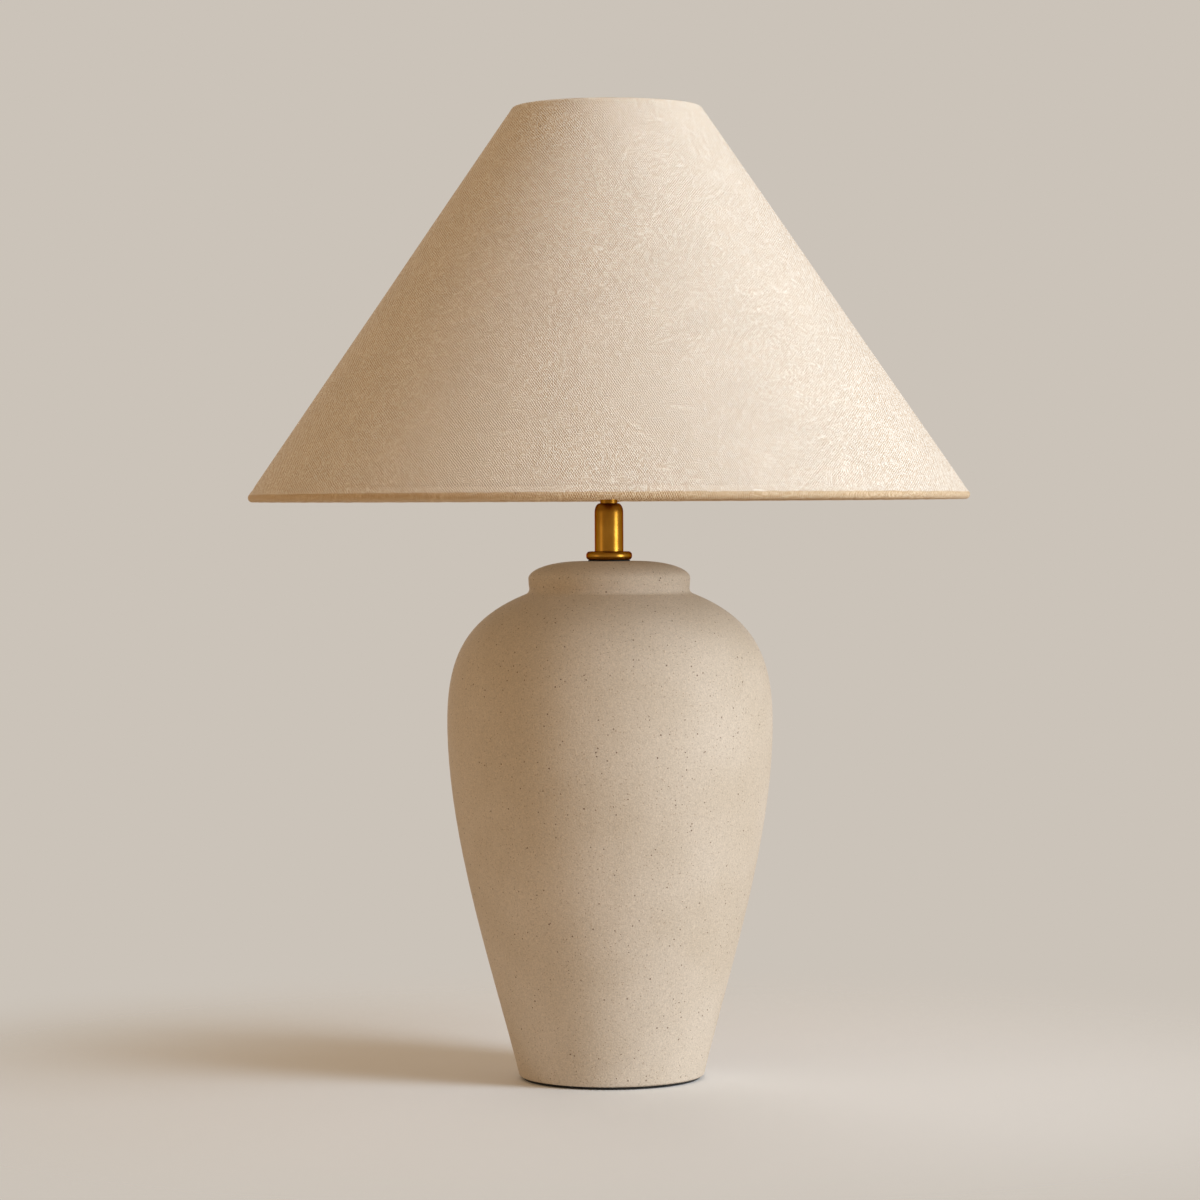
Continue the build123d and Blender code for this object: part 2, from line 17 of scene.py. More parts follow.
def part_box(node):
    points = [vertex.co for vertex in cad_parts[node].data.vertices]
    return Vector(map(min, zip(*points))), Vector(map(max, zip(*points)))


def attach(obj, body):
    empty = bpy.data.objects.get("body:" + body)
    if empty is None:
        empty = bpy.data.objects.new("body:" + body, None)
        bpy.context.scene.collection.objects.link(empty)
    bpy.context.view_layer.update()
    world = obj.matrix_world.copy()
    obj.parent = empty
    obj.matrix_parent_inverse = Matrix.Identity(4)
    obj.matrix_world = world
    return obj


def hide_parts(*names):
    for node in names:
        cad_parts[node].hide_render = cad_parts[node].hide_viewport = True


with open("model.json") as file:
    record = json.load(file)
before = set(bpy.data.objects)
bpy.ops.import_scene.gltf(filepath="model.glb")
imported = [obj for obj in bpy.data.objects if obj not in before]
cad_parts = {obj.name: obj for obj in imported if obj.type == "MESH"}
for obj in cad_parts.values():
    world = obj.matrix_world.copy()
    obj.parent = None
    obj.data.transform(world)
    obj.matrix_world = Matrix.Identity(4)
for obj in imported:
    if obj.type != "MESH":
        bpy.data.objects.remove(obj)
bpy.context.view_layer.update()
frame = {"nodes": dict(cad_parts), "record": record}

# %% [markdown]
# ## The camera
# The lamp is seen from almost straight ahead, with the eye just below the rim of its shade, so
# the rim is nearly a straight line. A long lens far away keeps the sides of the cone straight, as
# they are to a person across a room. The camera's place is given in metres in the lamp's own
# frame, so nothing has to be aimed by eye.

# %% Camera
camera_place = Vector((-0.0065, -2.712, 0.394))
camera_tilt_down = math.radians(1.29)
camera_roll = math.radians(0.29)
lens_mm = 116.96
sensor_mm = 36.0


def add_camera(name):
    """A camera that looks along +Y, tilted down and rolled about its own line of sight."""
    data = bpy.data.cameras.new(name)
    data.lens = lens_mm
    data.sensor_width = sensor_mm
    camera = bpy.data.objects.new(name, data)
    bpy.context.scene.collection.objects.link(camera)
    look = Matrix.Rotation(math.pi / 2 - camera_tilt_down, 4, "X")
    roll = Matrix.Rotation(-camera_roll, 4, "Z")
    camera.matrix_world = Matrix.Translation(camera_place) @ look @ roll
    return camera


scene = bpy.context.scene
scene.camera = add_camera("room_camera")
scene.view_settings.view_transform = "Standard"
print("camera", scene.camera.matrix_world.translation, "lens", lens_mm)

# %% [markdown]
# ## Writing shaders as sums
# A finish is a small drawing made by arithmetic: where a thread lies, how far a speck is. Wires
# between dozens of nodes are hard to read, so a node's output is wrapped in a class whose
# operators add the Math nodes. Every other node comes from one method, which takes the node's
# type, its settings and its sockets.

# %% Values that add up


class Value:
    """One output of a node. Arithmetic on it adds Math nodes to the same tree."""

    def __init__(self, recipe, socket):
        self.recipe = recipe
        self.socket = socket

    def output(self, name):
        """Another output of the same node."""
        return Value(self.recipe, self.socket.node.outputs[name])

    def __add__(self, other):
        return self.recipe.math("ADD", self, other)

    def __radd__(self, other):
        return self.recipe.math("ADD", other, self)

    def __sub__(self, other):
        return self.recipe.math("SUBTRACT", self, other)

    def __rsub__(self, other):
        return self.recipe.math("SUBTRACT", other, self)

    def __mul__(self, other):
        return self.recipe.math("MULTIPLY", self, other)

    def __rmul__(self, other):
        return self.recipe.math("MULTIPLY", other, self)

    def __truediv__(self, other):
        return self.recipe.math("DIVIDE", self, other)


print("a value can", [name.strip("_") for name, made in vars(Value).items() if callable(made)])

# %% [markdown]
# ## The recipe of a finish
# A recipe owns the node tree of one material and is read from the top down, like a list of what
# to mix. Its methods are the few steps that every finish of this lamp is made of: a soft noise,
# noise drawn out into strands, a smooth step, a mix of two colours, and a fine relief.

# %% Recipe


class Recipe:
    """A node tree that is written from the top down."""

    def __init__(self, tree):
        self.tree = tree
        tree.nodes.clear()

    def node(self, kind, settings=None, sockets=None, out=0):
        """Adds a node with its settings and sockets, and returns one of its outputs if it has any."""
        made = self.tree.nodes.new(kind)
        for name, value in (settings or {}).items():
            setattr(made, name, value)
        for name, value in (sockets or {}).items():
            if isinstance(value, Value):
                self.tree.links.new(value.socket, made.inputs[name])
            else:
                made.inputs[name].default_value = value
        return Value(self, made.outputs[out]) if made.outputs else None

    def math(self, operation, first, second=0.0):
        """A sum of two values, or a function of the first alone."""
        return self.node("ShaderNodeMath", {"operation": operation}, {0: first, 1: second})

    def place(self):
        """The point on the object, in metres in the lamp's frame."""
        return self.node("ShaderNodeTexCoord", out="Object")

    def parts(self, vector):
        """The x, y and z of a vector."""
        split = self.node("ShaderNodeSeparateXYZ", sockets={0: vector})
        return [split.output(axis) for axis in "XYZ"]

    def noise(self, vector, per_metre=1.0, detail=2.0):
        """Soft noise from 0 to 1 with this many features in a metre."""
        sockets = {"Vector": vector, "Scale": per_metre, "Detail": detail}
        return self.node("ShaderNodeTexNoise", sockets=sockets)

    def strands(self, vector, per_metre, detail=2.0):
        """Noise drawn out into strands: it has its own features in a metre along x, y and z."""
        sockets = {"Vector": vector, "Scale": per_metre}
        drawn = self.node("ShaderNodeMapping", {"vector_type": "POINT"}, sockets)
        return self.noise(drawn, 1.0, detail)

    def rise(self, value, low, high):
        """0 below low, 1 above high, and a smooth step between them."""
        limits = {"Value": value, "From Min": low, "From Max": high}
        return self.node("ShaderNodeMapRange", {"interpolation_type": "SMOOTHSTEP"}, limits)

    def mix(self, factor, first, second):
        """The first colour where the factor is 0, the second where it is 1."""
        return self.node("ShaderNodeMix", {"data_type": "RGBA"}, {0: factor, 6: first, 7: second}, out=2)

    def stain(self, factor, colour, tint):
        """A colour multiplied by a tint where the factor is 1, and left alone where it is 0."""
        multiply = {"data_type": "RGBA", "blend_type": "MULTIPLY"}
        return self.node("ShaderNodeMix", multiply, {0: factor, 6: colour, 7: tint}, out=2)

    def shade(self, colour, factor):
        """A colour made lighter or darker by a factor."""
        grey = self.node("ShaderNodeCombineColor", sockets={0: factor, 1: factor, 2: factor})
        return self.stain(1.0, colour, grey)

    def bump(self, height, metres):
        """A surface normal tipped by a height from 0 to 1 that stands for so many metres."""
        return self.node("ShaderNodeBump", sockets={"Height": height, "Distance": metres})

    def surface(self, **sockets):
        """Ends the recipe with one Principled surface. An underscore in a name stands for a space."""
        named = {name.replace("_", " "): value for name, value in sockets.items()}
        shader = self.node("ShaderNodeBsdfPrincipled", sockets=named)
        self.node("ShaderNodeOutputMaterial", sockets={"Surface": shader})


print("a recipe can", [name for name in vars(Recipe) if not name.startswith("_")])

# %% [markdown]
# ## Colours and new materials
# A colour is easiest to choose as it looks on a screen, but a shader adds up light, and twice the
# light doesn't look twice as bright. So one small function turns screen colours into light, and
# another starts a material with an empty recipe.

# %% Colours and materials


def finish(name):
    """A new material and the recipe that fills it."""
    material = bpy.data.materials.new(name)
    material.use_nodes = True
    return material, Recipe(material.node_tree)


def rgb(red, green, blue):
    """A colour as it looks on a screen, from 0 to 255, as the linear light that shaders add up."""
    screen = np.array([red, green, blue]) / 255
    linear = np.where(screen <= 0.04045, screen / 12.92, ((screen + 0.055) / 1.055) ** 2.4)
    return (*linear.tolist(), 1.0)


print("a mid grey of 128 is", round(rgb(128, 128, 128)[0], 3), "in linear light")

# %% [markdown]
# ## The stage
# The lamp stands on a plain pale floor. A wall behind it would get in the way when the lamp is
# seen from the back, so the floor fades out with distance into an even sky of the same tone.
# The sky gives light from all round, and what the camera, brass and glass see of it is a quiet
# warm grey.

# %% Floor and sky
floor_half_size = 8.0
floor_solid_radius = 0.18
floor_gone_radius = 0.7
floor_colour = rgb(234, 232, 229)
wall_colour = rgb(203, 195, 185)
wall_strength = 1.0
sky_light_colour = rgb(255, 221, 177)
sky_light_strength = 0.44


def floor_finish():
    """Matt floor that turns see-through away from the lamp."""
    material, recipe = finish("pale_floor")
    x, y, _ = recipe.parts(recipe.place())
    distance = recipe.math("SQRT", x * x + y * y)
    gone = recipe.rise(distance, floor_solid_radius, floor_gone_radius)
    matt = recipe.node("ShaderNodeBsdfDiffuse", sockets={"Color": floor_colour})
    clear = recipe.node("ShaderNodeBsdfTransparent")
    both = recipe.node("ShaderNodeMixShader", sockets={0: gone, 1: matt, 2: clear})
    recipe.node("ShaderNodeOutputMaterial", sockets={"Surface": both})
    return material


def add_floor(name):
    """A flat square at the height of the lamp's underside."""
    half = floor_half_size
    corners = [(-half, -half, 0), (half, -half, 0), (half, half, 0), (-half, half, 0)]
    mesh = bpy.data.meshes.new(name)
    mesh.from_pydata(corners, [], [(0, 1, 2, 3)])
    floor = bpy.data.objects.new(name, mesh)
    scene.collection.objects.link(floor)
    mesh.materials.append(floor_finish())
    return floor


def add_sky():
    """Even light from all round, seen by the camera, brass and glass as a plain wall."""
    scene.world = bpy.data.worlds.new("sky")
    scene.world.use_nodes = True
    recipe = Recipe(scene.world.node_tree)
    rays = recipe.node("ShaderNodeLightPath", out="Is Camera Ray")
    seen = rays + rays.output("Is Glossy Ray") + rays.output("Is Transmission Ray")
    light_sockets = {"Color": sky_light_colour, "Strength": sky_light_strength}
    wall_sockets = {"Color": wall_colour, "Strength": wall_strength}
    light = recipe.node("ShaderNodeBackground", sockets=light_sockets)
    wall = recipe.node("ShaderNodeBackground", sockets=wall_sockets)
    both = recipe.node("ShaderNodeMixShader", sockets={0: seen, 1: light, 2: wall})
    recipe.node("ShaderNodeOutputWorld", sockets={"Surface": both})


add_floor("floor")
add_sky()
print("floor", 2 * floor_half_size, "m wide, gone at", floor_gone_radius, "m from the lamp")

# %% [markdown]
# ## Light
# One tall cool light on the right, like a window, does most of the work, so the cone and the urn
# turn from pale to tan across their width and the shade throws a soft shadow on the urn's
# shoulder. It reaches down to the floor, so the brass neck sees it under the shade as a long
# bright streak. The sky's warmth fills the other side, a weak warm light low on the left gives the
# brass its second streak, and a wide soft light behind keeps the back of the lamp from going dull.

# %% Studio lights


def add_light(name, colour, watts, right_of_front, distance, width, height):
    """A soft upright light on the floor, turned to the axis: an angle in degrees gives its side."""
    data = bpy.data.lights.new(name, "AREA")
    data.shape = "RECTANGLE"
    data.size = width
    data.size_y = height
    data.energy = watts
    data.color = colour[:3]
    towards_light = Matrix.Rotation(math.radians(right_of_front), 3, "Z") @ Vector((0.0, -1.0, 0.0))
    light = bpy.data.objects.new(name, data)
    light.location = towards_light * distance + Vector((0.0, 0.0, height / 2))
    light.rotation_mode = "QUATERNION"
    light.rotation_quaternion = (-towards_light).to_track_quat("-Z", "Y")
    scene.collection.objects.link(light)
    return light


add_light(
    "window_light", colour=rgb(222, 239, 255), watts=114.0,
    right_of_front=60, distance=2.7, width=1.0, height=3.2,
)
add_light(
    "room_light", colour=rgb(255, 236, 212), watts=4.0,
    right_of_front=-66, distance=2.8, width=0.7, height=1.0,
)
add_light(
    "back_light", colour=rgb(244, 246, 255), watts=26.0,
    right_of_front=188, distance=3.0, width=2.4, height=2.4,
)

# %% [markdown]
# ## Stoneware
# The urn is cast from a sandy clay and fired with a dry matt glaze. Up close it has a fine grain,
# dark specks of iron that burned through, smaller rusty ones, and faint clouds where the glaze
# lies thicker. All of it is worked out in space and not on a flat map, so it wraps the urn with no
# seam. The specks are the centres of random cells: a cell is left bare or holds one speck of its
# own size.

# %% Stoneware finish
grains_per_metre = 1000
sand_per_metre = 330
glaze_clouds_per_metre = 14
thin_glaze = rgb(200, 183, 162)
thick_glaze = rgb(208, 192, 173)
rust_brown = rgb(132, 98, 70)
iron_brown = rgb(94, 62, 38)
glaze_relief = 0.0003


def specks(recipe, place, cells_per_metre, smallest, largest, share):
    """Dots of random size, in parts of a cell, in a share of the cells of a random foam."""
    foam = recipe.node("ShaderNodeTexVoronoi", sockets={"Vector": place, "Scale": cells_per_metre})
    chance, size, _ = recipe.parts(foam.output("Color"))
    radius = smallest + size * (largest - smallest)
    soft_rim = 0.25 * smallest
    soft_choice = 0.01
    inside = recipe.rise(radius - foam, -soft_rim, soft_rim)
    chosen = recipe.rise(chance, 1 - share - soft_choice, 1 - share + soft_choice)
    return inside * chosen


def stoneware_finish():
    """Dry glaze: sandy grain, soft clouds, dark iron specks and smaller rusty ones."""
    material, recipe = finish("stoneware")
    place = recipe.place()
    grain = recipe.noise(place, grains_per_metre, detail=3)
    sand = recipe.noise(place, sand_per_metre)
    clouds = recipe.noise(place, glaze_clouds_per_metre)
    iron = specks(recipe, place, cells_per_metre=250, smallest=0.05, largest=0.15, share=0.6)
    rust = specks(recipe, place, cells_per_metre=540, smallest=0.12, largest=0.27, share=0.6)
    glaze = recipe.mix(recipe.rise(clouds, 0.3, 0.7), thin_glaze, thick_glaze)
    glaze = recipe.shade(glaze, 0.62 + grain * 0.62 + sand * 0.14)
    glaze = recipe.mix(rust * 0.42, glaze, rust_brown)
    glaze = recipe.mix(iron * 0.75, glaze, iron_brown)
    relief = grain * 0.5 + sand * 0.5 - iron * 0.5
    recipe.surface(
        Base_Color=glaze,
        Roughness=0.78 + grain * 0.14,
        Specular_IOR_Level=0.3,
        Normal=recipe.bump(relief, glaze_relief),
    )
    return material


finishes = {"stoneware": stoneware_finish()}
print("stoneware nodes", len(finishes["stoneware"].node_tree.nodes))

# %% [markdown]
# ## Brass and other metals
# The neck is turned brass that was brushed on the lathe and then darkened with age. Brushing
# leaves fine rings, so its noise is squeezed along Z and drawn out across it. The plated steel,
# aluminium and bare brass inside the lamp are the same recipe with other colours and another
# gloss.

# %% Metal finishes
brushing_per_metre = (60.0, 60.0, 5200.0)
brushing_relief = 0.00001
tarnish_per_metre = 40

# The bright colour, the tarnished colour, and the least and the greatest roughness.
metals = {
    "antique_brass": (rgb(178, 126, 46), rgb(158, 106, 32), 0.26, 0.36),
    "contact_brass": (rgb(224, 188, 110), rgb(206, 166, 90), 0.18, 0.32),
    "zinc_steel": (rgb(205, 206, 206), rgb(176, 178, 180), 0.25, 0.45),
    "bare_aluminium": (rgb(226, 226, 228), rgb(205, 206, 210), 0.2, 0.35),
}


def metal_finish(name, bright, tarnished, least_rough, most_rough):
    """Brushed metal: rings of fine scratches, slow patches of tarnish, and both in its roughness."""
    material, recipe = finish(name)
    place = recipe.place()
    rings = recipe.strands(place, brushing_per_metre, detail=3)
    tarnish = recipe.rise(recipe.noise(place, tarnish_per_metre), 0.3, 0.75)
    colour = recipe.mix(tarnish, bright, tarnished)
    recipe.surface(
        Base_Color=recipe.shade(colour, 0.9 + rings * 0.2),
        Metallic=1.0,
        Specular_Tint=tarnished,
        Roughness=least_rough + (most_rough - least_rough) * (tarnish * 0.6 + rings * 0.4),
        Normal=recipe.bump(rings, brushing_relief),
    )
    return material


for name, look in metals.items():
    finishes[name] = metal_finish(name, *look)
print("metals", list(metals))

# %% [markdown]
# ## Moulded and coated pieces
# The rubber, the switch body, its knob, the bulb's board and insulator, the lining of the shade
# and the coated wires are all moulded or dipped: one colour with a faint orange peel and a gloss
# that wanders a little. One recipe covers them, with its own colour, gloss and grain for each.

# %% Moulded finishes
moulded_clouds_per_metre = 30

# The colour, the roughness, the grains in a metre and the height of a grain in metres.
moulded = {
    "black_rubber": (rgb(38, 37, 36), 0.75, 1800, 0.00003),
    "brown_phenolic": (rgb(70, 50, 38), 0.42, 900, 0.00002),
    "black_knob": (rgb(36, 32, 29), 0.24, 600, 0.00001),
    "white_board": (rgb(238, 238, 233), 0.5, 1200, 0.00001),
    "white_wire": (rgb(232, 229, 221), 0.38, 700, 0.00003),
    "white_lining": (rgb(240, 235, 224), 0.55, 800, 0.00003),
}


def moulded_finish(name, colour, roughness, grain_per_metre, grain_metres):
    """One colour with soft clouds, a fine grain and a gloss that follows the grain."""
    material, recipe = finish(name)
    place = recipe.place()
    grain = recipe.noise(place, grain_per_metre)
    clouds = recipe.noise(place, moulded_clouds_per_metre)
    recipe.surface(
        Base_Color=recipe.shade(colour, 0.88 + grain * 0.12 + clouds * 0.12),
        Roughness=roughness * 0.85 + grain * (0.3 * roughness),
        Normal=recipe.bump(grain, grain_metres),
    )
    return material


for name, look in moulded.items():
    finishes[name] = moulded_finish(name, *look)
print("moulded", list(moulded))

# %% [markdown]
# ## Opal glass and fibre card
# The bulb is opal glass: milky all through under a polished skin, which a white base with a clear
# coat gives. The insulating sleeve in the socket is pressed from paper fibre, so its noise is
# drawn out round the sleeve.

# %% Glass and card finishes
opal_white = rgb(246, 244, 238)
haze_per_metre = 60
card_dark = rgb(122, 92, 64)
card_light = rgb(160, 126, 90)
fibres_per_metre = (260.0, 260.0, 1900.0)
fibre_relief = 0.00006


def opal_finish():
    """Milk-white glass with a polished skin."""
    material, recipe = finish("opal_glass")
    haze = recipe.noise(recipe.place(), haze_per_metre)
    recipe.surface(
        Base_Color=recipe.shade(opal_white, 0.94 + haze * 0.08),
        Roughness=0.3 + haze * 0.08,
        Coat_Weight=0.6,
        Coat_Roughness=0.06,
    )
    return material


def card_finish():
    """Brown pressed fibre with long strands round the sleeve."""
    material, recipe = finish("fibre_card")
    fibres = recipe.strands(recipe.place(), fibres_per_metre, detail=4)
    colour = recipe.mix(recipe.rise(fibres, 0.3, 0.7), card_dark, card_light)
    recipe.surface(Base_Color=colour, Roughness=0.9, Normal=recipe.bump(fibres, fibre_relief))
    return material


finishes["opal_glass"] = opal_finish()
finishes["fibre_card"] = card_finish()
print("finishes so far", len(finishes))

# %% [markdown]
# ## Felt
# Felt is matted wool with no threads: short fibres that point every way. Two noises drawn out
# along crossed directions make the mat, and a soft sheen stands for the fibre ends that catch
# light at the rim.

# %% Felt finish
felt_dark = rgb(20, 18, 15)
felt_light = rgb(48, 44, 39)
felt_relief = 0.0003


def felt_finish():
    """Black wool felt with crossed fibres."""
    material, recipe = finish("felt")
    place = recipe.place()
    one_way = recipe.strands(place, (2600.0, 500.0, 1500.0), detail=3)
    other_way = recipe.strands(place, (500.0, 2600.0, 1500.0), detail=3)
    mat = recipe.math("MAXIMUM", one_way, other_way)
    recipe.surface(
        Base_Color=recipe.mix(recipe.rise(mat, 0.4, 0.75), felt_dark, felt_light),
        Roughness=0.95,
        Sheen_Weight=0.1,
        Sheen_Roughness=0.5,
        Normal=recipe.bump(mat, felt_relief),
    )
    return material


finishes["felt"] = felt_finish()
print("felt nodes", len(finishes["felt"].node_tree.nodes))

# %% [markdown]
# ## The cloth cover of the shade
# The cover is one piece of cloth bent into a cone, glued to a stiff lining, rolled round a wire
# at each rim and lapped over itself at the back. Its cross-section is one line: round the bottom
# wire, straight up the slope, round the top wire. The line is carried round the axis, once for
# the outer face and once, a cloth's thickness inside it, for the inner face. The wires' places
# and the hems' size come from the CAD nodes.

# %% Sizes of the cover
cloth_thickness = 0.0008
bottom_hem_turn = math.radians(215)
top_hem_turn = math.radians(165)


def ring_centre(node):
    """The radius and height of a wire ring's centre line, from its box."""
    low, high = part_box(node)
    wire_radius = (high.z - low.z) / 2
    return np.array([high.x - wire_radius, (high.z + low.z) / 2])


bottom_wire = ring_centre("shade_bottom_ring")
top_wire = ring_centre("shade_top_ring")
_, shade_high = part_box("shade_fabric")

# The outside and the middle of the cloth, measured from the centre line of a wire.
hem_outside = shade_high.x - bottom_wire[0]
hem_middle = hem_outside - cloth_thickness / 2

slope = top_wire - bottom_wire
slope_length = float(np.hypot(*slope))
slope_up = slope / slope_length
slope_angle = math.atan2(-slope_up[0], slope_up[1])
half_angle_sine = math.sin(slope_angle)
rim_from_tip = (bottom_wire[0] + hem_middle * math.cos(slope_angle)) / half_angle_sine
print("slope", round(slope_length, 4), "m long, leaning", round(math.degrees(slope_angle), 2), "degrees")

# %% [markdown]
# ## Linen
# The shade's cloth is an oatmeal weave of linen and cotton. Its threads cross in threes, which
# gives it fine ribs that slant both ways. The yarn is spun unevenly, so the ribs wander, fade and
# come back, a pale lump or a dark bit of husk turns up here and there, and thick and thin weft
# threads leave faint streaks. In soft light the gaps between threads look darker than the threads,
# so most of the weave is colour: the shade in the gaps is painted shade, with a little relief for
# light from the side. The cloth rolled round the bottom wire is painted darker, as painted shade
# under the hem. The pattern is drawn in the flat cloth before it was bent: the cover's own map
# holds that flat pattern in metres, so threads keep their true size and turn round the cone.

# %% Linen weave
warp_pitch = 0.00053
weft_pitch = 0.00092
threads_in_rib = 3
rib_fades_per_metre = 120
# How far and how unevenly the painted shade of the bottom hem reaches up the slope.
hem_shade_creep_per_metre = 260
hem_shade_creep = 0.002


def wander(recipe, flat, per_metre, threads):
    """Noise that shifts a count of threads by up to so many threads."""
    return recipe.noise(flat, per_metre) * threads


def wandering_ribs(recipe, flat):
    """Ribs that slant both ways: sines of the warp count minus and plus the weft count.

    Noise shifts both counts, so the ribs wander, and another noise fades the ribs in places."""
    x, y, _ = recipe.parts(flat)
    slow = wander(recipe, flat, per_metre=55, threads=1.2)
    quick = wander(recipe, flat, per_metre=250, threads=2.4)
    warp = x / warp_pitch + slow + quick
    weft = y / weft_pitch + wander(recipe, flat, per_metre=210, threads=1.8)
    per_thread = 2 * math.pi / threads_in_rib
    rising = recipe.math("SINE", (warp - weft) * per_thread)
    falling = recipe.math("SINE", (warp + weft) * per_thread)
    ribs = recipe.rise(rising * 0.5 + falling * 0.6, -0.7, 0.7)
    strength = recipe.rise(recipe.noise(flat, rib_fades_per_metre), 0.25, 0.6)
    return 0.5 + (ribs - 0.5) * strength


def crossed_yarn(recipe, flat):
    """Uneven yarn: the higher of two noises, drawn out along the warp and along the weft."""
    warp_yarn = recipe.strands(flat, (1100.0, 300.0, 1.0))
    weft_yarn = recipe.strands(flat, (300.0, 1100.0, 1.0))
    return recipe.rise(recipe.math("MAXIMUM", warp_yarn, weft_yarn), 0.44, 0.74)


def painted_hem_shade(recipe, flat):
    """Painted shade under the hem: 1 on the cloth that goes round the bottom wire and 0 above it, with an
    uneven edge.
    """
    from_tip = recipe.node("ShaderNodeVectorMath", {"operation": "LENGTH"}, {0: flat}, out="Value")
    creep = recipe.noise(flat, hem_shade_creep_per_metre, detail=3) * hem_shade_creep
    return recipe.rise(from_tip + creep - rim_from_tip, 0.0004, 0.0009)


print("a rib crosses", round(threads_in_rib * warp_pitch * 1000, 2), "mm of warp")

# %% Linen finish
# The dark end of the weave: dark yarn, and painted shade in the gaps between threads.
gap_shade_and_dark_yarn = rgb(181, 144, 102)
pale_thread = rgb(255, 248, 236)
slub_white = rgb(255, 252, 246)
husk_brown = rgb(116, 84, 58)
# A darker tint for the cloth round the bottom wire: painted shade under the hem.
hem_shade_tint = rgb(236, 220, 196)
cloth_clouds_per_metre = 26
weave_relief = 0.0003


def linen_finish():
    """Cloth drawn in the flat: x runs across the warp, y across the weft, and the cone's tip is at 0."""
    material, recipe = finish("linen")
    flat = recipe.node("ShaderNodeUVMap", {"uv_map": "flat"})
    weave = wandering_ribs(recipe, flat) * 0.6 + crossed_yarn(recipe, flat) * 0.4
    slubs = recipe.rise(recipe.strands(flat, (330.0, 800.0, 1.0)), 0.63, 0.69)
    husk = specks(recipe, flat, cells_per_metre=85, smallest=0.03, largest=0.06, share=0.22)
    clouds = recipe.noise(flat, cloth_clouds_per_metre, detail=3)
    streaks = recipe.strands(flat, (45.0, 260.0, 1.0))
    # Where the weave is low the cloth is darker: painted shade between threads, and uneven yarn.
    colour = recipe.mix(recipe.rise(weave, 0.05, 0.72), gap_shade_and_dark_yarn, pale_thread)
    colour = recipe.mix(slubs * 0.8, colour, slub_white)
    colour = recipe.shade(colour, 0.88 + clouds * 0.12 + streaks * 0.13)
    colour = recipe.mix(husk * 0.7, colour, husk_brown)
    # The cloth round the bottom wire is darkened: painted shade under the hem.
    colour = recipe.stain(painted_hem_shade(recipe, flat), colour, hem_shade_tint)
    recipe.surface(
        Base_Color=colour,
        Roughness=0.9,
        Specular_IOR_Level=0.2,
        Sheen_Weight=0.15,
        Sheen_Roughness=0.45,
        Sheen_Tint=rgb(255, 246, 234),
        Normal=recipe.bump(weave + slubs * 0.6, weave_relief),
    )
    return material


finishes["linen"] = linen_finish()
print("linen nodes", len(finishes["linen"].node_tree.nodes))

# %% [markdown]
# ## The cover's cross-section
# A cloth simulation could drape the cover, but glued cloth doesn't hang: it follows its lining. So
# the surface is worked out from two parameters, a length along the cross-section and a turn round
# the axis. The rows lie close together where the line bends, and the turns where the lap is.

# %% Cover line, rows and turns
lap_half_width = 0.006
lap_ease = 0.005
lap_edge = 0.0003
before_lap = 0.002
beside_bottom_hem = 0.014
beside_top_hem = 0.012
row_steps = (19, 14, 33, 10, 15)
turn_steps = 440


def cover_line(along, out):
    """Cross-section of the cloth: radius and height at a length along it and a distance outside it.

    Below 0 the line runs round the bottom wire, above the slope's length round the top wire, and
    between them straight up. Each point is the nearest wire point plus (hem_middle + out) along
    the facing angle, which turns only on the two wires."""
    on_slope = np.clip(along, 0, slope_length)
    turned = (along - on_slope) / hem_middle
    facing = slope_angle + turned
    reach = hem_middle + out
    radius = bottom_wire[0] + slope_up[0] * on_slope + reach * np.cos(facing)
    height = bottom_wire[1] + slope_up[1] * on_slope + reach * np.sin(facing)
    return radius, height


def cover_rows():
    """Lengths along the cross-section: short steps round and beside each hem, wide ones between."""
    start = -bottom_hem_turn * hem_middle
    end = slope_length + top_hem_turn * hem_middle
    marks = [start, 0, beside_bottom_hem, slope_length - beside_top_hem, slope_length, end]
    spans = zip(marks[:-1], marks[1:], row_steps)
    rows = [np.linspace(low, high, steps, endpoint=False) for low, high, steps in spans]
    return np.concatenate([*rows, [end]])


def lap_places():
    """Places across the lap, from its middle: even over the ease and the flat, close at the cut edge."""
    ease_start = -lap_half_width - lap_ease
    ease = np.linspace(ease_start, -lap_half_width, 6)
    flat_part = np.linspace(-lap_half_width, lap_half_width, 7)[1:-1]
    edge = lap_half_width + np.array([-1.0, -0.4, -0.15, 0.0, 0.15, 0.4, 1.0, 2.5]) / 1000
    return np.concatenate([[ease_start - before_lap], ease, flat_part, edge])


def cover_turns(radius):
    """Angles round the axis from the seam at the back: the lap's places, then even steps once round."""
    share = np.linspace(0, 1, turn_steps + 1)[1:-1]
    seam = lap_places() / radius[:, None]
    start = seam[:, -1:]
    end = 2 * math.pi + seam[:, :1]
    return np.concatenate([seam, start + (end - start) * share], axis=1)


print("cover rows", len(cover_rows()), "places across the lap", len(lap_places()))

# %% [markdown]
# ## The cover's relief
# Cloth on a shade is never a perfect cone. It is double at the lap, which has a cut edge on one
# side and eases down on the other. It sinks a little beside each hem, where it leaves the wire, and
# a hem rolled by hand has small waves. Between the rims the glue lets it swell by a tenth of a
# millimetre. Only the outer face gets this relief, as the inner one lies on the lining.

# %% Cover relief
# Each wave's share, its waves in one turn and where it starts.
ripple_waves = ((0.4, 57, 1.0), (0.35, 91, 2.2), (0.25, 143, 0.7))
lap_height = 0.0007
valley_depth = 0.00022
top_valley_share = 0.6
valley_unevenness = 0.5
hem_wave_height = 0.00012
hem_wave_reach = 0.004
slack_height = 0.00012


